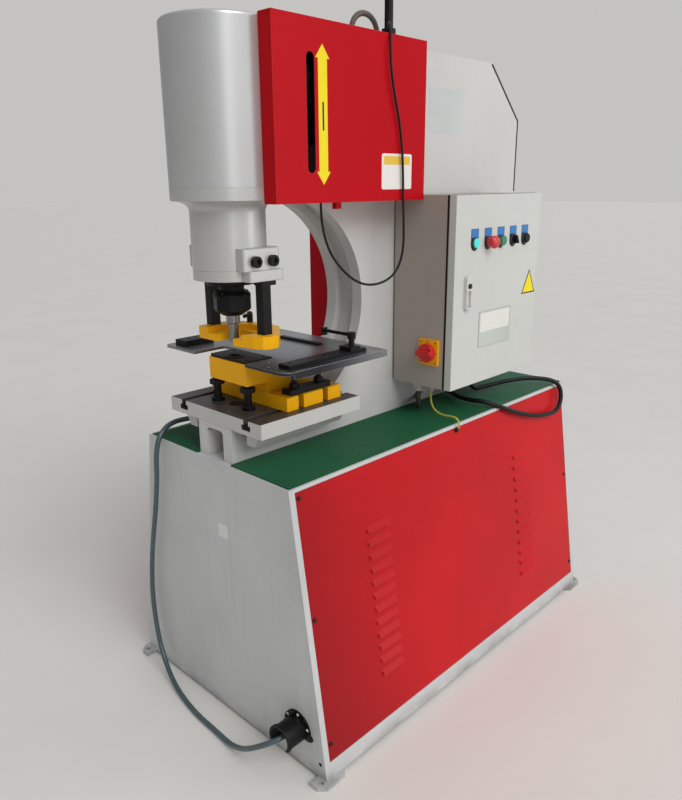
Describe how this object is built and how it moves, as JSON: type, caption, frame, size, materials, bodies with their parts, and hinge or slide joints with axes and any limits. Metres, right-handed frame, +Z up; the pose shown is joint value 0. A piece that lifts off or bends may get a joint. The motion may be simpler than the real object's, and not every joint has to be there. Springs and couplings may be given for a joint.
{
  "type": "hydraulic C frame punching machine",
  "caption": "Hydraulic C frame punch on a floor base, with a stripper fork, die shoe, slotted table, red covers and a side cabinet.",
  "frame": {"origin": "on the floor, at the centre of the four foot bolt holes", "axes": "+Z up, +X towards the cabinet side, -Y towards the front where the punch is"},
  "size_m": [0.932, 1.5949, 2.15],
  "materials": {
    "grey_paint": "satin",
    "silver_paint": "gloss",
    "red_paint": "gloss",
    "orange_paint": "satin",
    "yellow_paint": "satin",
    "black_oxide": "satin",
    "ground_steel": "satin",
    "zinc_steel": "gloss",
    "green_rubber": "matte",
    "black_rubber": "matte",
    "black_plastic": "matte",
    "red_plastic": "gloss",
    "green_plastic": "gloss",
    "cyan_plastic": "gloss",
    "blue_grey_plastic": "matte"
  },
  "bodies": {
    "frame": {"base_frame": "grey_paint", "near_side_panel": "red_paint", "far_side_panel": "red_paint", "panel_screws": "black_oxide", "rubber_mat": "green_rubber", "outlet_hood": "black_plastic", "oil_tank": "grey_paint", "tank_lid": "grey_paint", "motor": "grey_paint", "gear_pump": "ground_steel", "hydraulic_pipes": "zinc_steel", "c_frame": "grey_paint", "frame_webs": "grey_paint", "work_table": "grey_paint", "cylinder_shell": "silver_paint", "cylinder_barrel": "ground_steel", "cylinder_cap": "ground_steel", "head_neck": "grey_paint", "guide_bush": "ground_steel", "head_screws": "black_oxide", "stripper_carrier": "grey_paint", "gland_ring": "black_oxide", "limit_rail": "zinc_steel", "slot_cover": "red_paint", "far_side_cover": "red_paint", "stripper_fork": "orange_paint", "stripper_posts": "black_oxide", "die_shoe": "orange_paint", "die_holder": "black_oxide", "die": "black_oxide", "shoe_bolts": "black_oxide", "support_plate": "ground_steel", "gauge_bars": "black_oxide", "cabinet_body": "grey_paint", "control_gear": "zinc_steel", "switch_plate": "yellow_paint", "top_mast": "black_oxide", "air_hose": "blue_grey_plastic", "control_cable": "black_rubber", "power_cable": "black_rubber", "earth_wire": "yellow_paint", "leg_conduit": "black_rubber", "top_conduit": "black_plastic"},
    "ram_set": {"ram": "black_oxide", "piston": "ground_steel", "trip_arm": "ground_steel", "punch_nut": "black_oxide", "punch": "ground_steel"},
    "door": {"cabinet_door": "grey_paint", "door_fittings": "zinc_steel"},
    "upper_switch": {"upper_limit_switch": "black_plastic"},
    "lower_switch": {"lower_limit_switch": "black_plastic"},
    "lock_push": {"lock_button": "zinc_steel"},
    "cyan_push": {"cyan_button": "cyan_plastic"},
    "stop_push": {"stop_button": "red_plastic"},
    "green_push": {"green_button": "green_plastic"},
    "selector": {"selector_knob": "black_plastic"},
    "black_push": {"black_button": "black_plastic"},
    "main_switch": {"switch_knob": "red_plastic"},
    "shaft": {"motor_shaft": "ground_steel"}
  },
  "joints": [
    {"name": "ram_slide", "type": "slide", "parent": "frame", "child": "ram_set", "axis": [0, 0, 1], "range_m": [-0.05, 0]},
    {"name": "upper_switch_slide", "type": "slide", "parent": "frame", "child": "upper_switch", "axis": [0, 0, 1], "range_m": [0, 0.03]},
    {"name": "lower_switch_slide", "type": "slide", "parent": "frame", "child": "lower_switch", "axis": [0, 0, 1], "range_m": [-0.03, 0]},
    {"name": "door_hinge", "type": "hinge", "parent": "frame", "child": "door", "pos_m": [0.294, 0.486, 1.263], "axis": [0, 0, 1], "range_deg": [0, 110]},
    {"name": "lock_push_slide", "type": "slide", "parent": "door", "child": "lock_push", "axis": [1, 0, 0], "range_m": [-0.003, 0], "stiffness_N_per_m": 600, "springref_m": 0.002},
    {"name": "cyan_push_slide", "type": "slide", "parent": "door", "child": "cyan_push", "axis": [1, 0, 0], "range_m": [-0.004, 0], "stiffness_N_per_m": 600, "springref_m": 0.002},
    {"name": "stop_push_slide", "type": "slide", "parent": "door", "child": "stop_push", "axis": [1, 0, 0], "range_m": [-0.004, 0]},
    {"name": "green_push_slide", "type": "slide", "parent": "door", "child": "green_push", "axis": [1, 0, 0], "range_m": [-0.004, 0], "stiffness_N_per_m": 600, "springref_m": 0.002},
    {"name": "selector_turn", "type": "hinge", "parent": "door", "child": "selector", "pos_m": [0.319, 0.304, 1.42], "axis": [1, 0, 0], "range_deg": [-45, 45]},
    {"name": "black_push_slide", "type": "slide", "parent": "door", "child": "black_push", "axis": [1, 0, 0], "range_m": [-0.004, 0], "stiffness_N_per_m": 600, "springref_m": 0.002},
    {"name": "main_switch_turn", "type": "hinge", "parent": "frame", "child": "main_switch", "pos_m": [0.233, -0.029, 1.079], "axis": [0, 1, 0], "range_deg": [0, 90]},
    {"name": "shaft_spin", "type": "hinge", "parent": "frame", "child": "shaft", "pos_m": [0, -0.423, 0.509], "axis": [0, 1, 0], "continuous": true}
  ]
}
